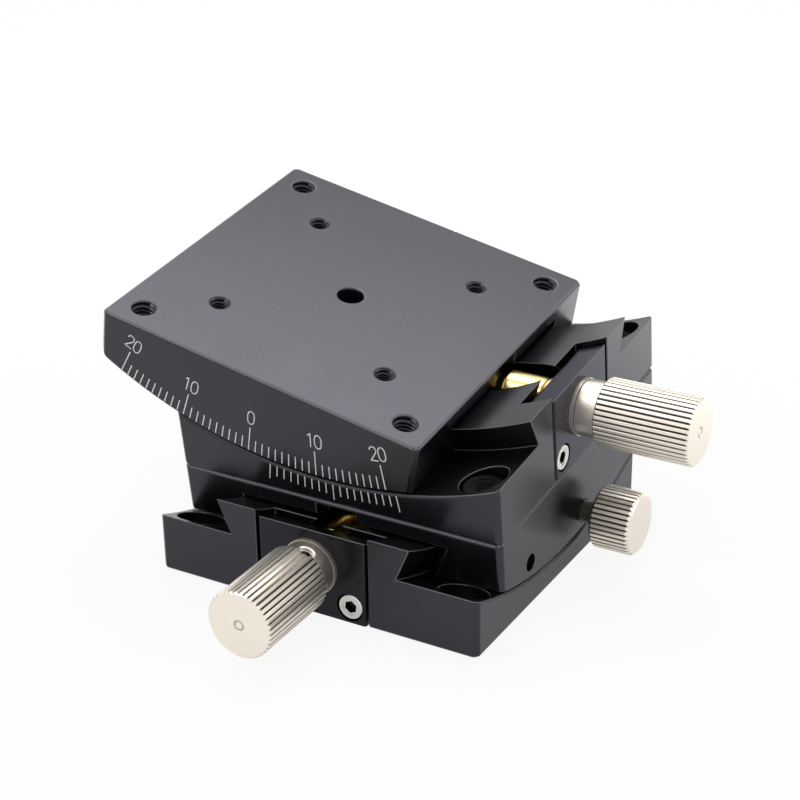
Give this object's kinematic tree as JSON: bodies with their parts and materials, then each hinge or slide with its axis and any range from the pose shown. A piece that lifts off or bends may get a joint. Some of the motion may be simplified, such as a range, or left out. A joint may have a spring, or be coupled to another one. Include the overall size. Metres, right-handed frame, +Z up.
{
  "type": "goniometer stage",
  "caption": "Two stacked arc-guided tilt stages at right angles, each with a worm-driven table, a knurled knob, a clamp screw and tapped holes on top.",
  "frame": {"origin": "centre of the lower base's bottom face", "axes": "+Z up, away from the surface it is bolted to; -Y towards the lower knob; +X towards the upper knob"},
  "size_m": [0.0947, 0.0975, 0.0503],
  "materials": {
    "black_aluminium": "black anodised, fine satin",
    "nickel": "nickel plated, satin, warm",
    "brass": "machined brass",
    "steel": "ground steel",
    "black_steel": "black oxide"
  },
  "bodies": {
    "lower_base_body": {"lower_base": "black_aluminium", "lower_worm_bracket": "black_aluminium", "lower_bracket_screws": "black_steel", "lower_front_bush": "brass", "lower_rear_bush": "brass", "lower_thrust_washer": "steel"},
    "lower_drive_body": {"lower_worm_shaft": "steel", "lower_worm": "brass", "lower_knob": "nickel", "lower_knob_set_screw": "black_steel"},
    "lower_table_body": {"lower_table": "black_aluminium", "lower_gib": "brass", "lower_gib_screws": "black_steel", "lower_wheel_segment": "brass", "lower_wheel_screws": "black_steel", "upper_base": "black_aluminium", "upper_worm_bracket": "black_aluminium", "upper_bracket_screws": "black_steel", "upper_front_bush": "brass", "upper_rear_bush": "brass", "upper_thrust_washer": "steel", "joining_screws": "black_steel"},
    "lower_lock_body": {"lower_lock_screw": "nickel"},
    "upper_drive_body": {"upper_worm_shaft": "steel", "upper_worm": "brass", "upper_knob": "nickel", "upper_knob_set_screw": "black_steel"},
    "upper_table_body": {"upper_table": "black_aluminium", "upper_gib": "brass", "upper_gib_screws": "black_steel", "upper_wheel_segment": "brass", "upper_wheel_screws": "black_steel"},
    "upper_lock_body": {"upper_lock_screw": "nickel"}
  },
  "joints": [
    {"name": "lower_tilt", "type": "hinge", "parent": "lower_base_body", "child": "lower_table_body", "pos_m": [0, 0, 0.0794], "axis": [1, 0, 0], "range_deg": [-27, 13]},
    {"name": "lower_drive", "type": "hinge", "parent": "lower_base_body", "child": "lower_drive_body", "pos_m": [0, -0.03, 0.0087], "axis": [0, -1, 0], "range_deg": [-4860, 2340]},
    {"name": "lower_lock", "type": "hinge", "parent": "lower_table_body", "child": "lower_lock_body", "pos_m": [0.03, 0.00879, 0.00784], "axis": [1, 0, 0], "range_deg": [0, 360]},
    {"name": "upper_tilt", "type": "hinge", "parent": "lower_table_body", "child": "upper_table_body", "pos_m": [0, -0.00236, 0.09866], "axis": [0, 0.9925, 0.1219], "range_deg": [-32.3, 7.7]},
    {"name": "upper_drive", "type": "hinge", "parent": "lower_table_body", "child": "upper_drive_body", "pos_m": [0.03, 0.00625, 0.02848], "axis": [1, 0, 0], "range_deg": [-5814, 1386]},
    {"name": "upper_lock", "type": "hinge", "parent": "upper_table_body", "child": "upper_lock_body", "pos_m": [-0.01536, 0.036, 0.03239], "axis": [0, 0.9925, 0.1219], "range_deg": [0, 360]}
  ],
  "couplings": [
    {"joint": "lower_drive", "follows": "lower_tilt", "ratio": 180},
    {"joint": "upper_drive", "follows": "upper_tilt", "ratio": 180}
  ]
}
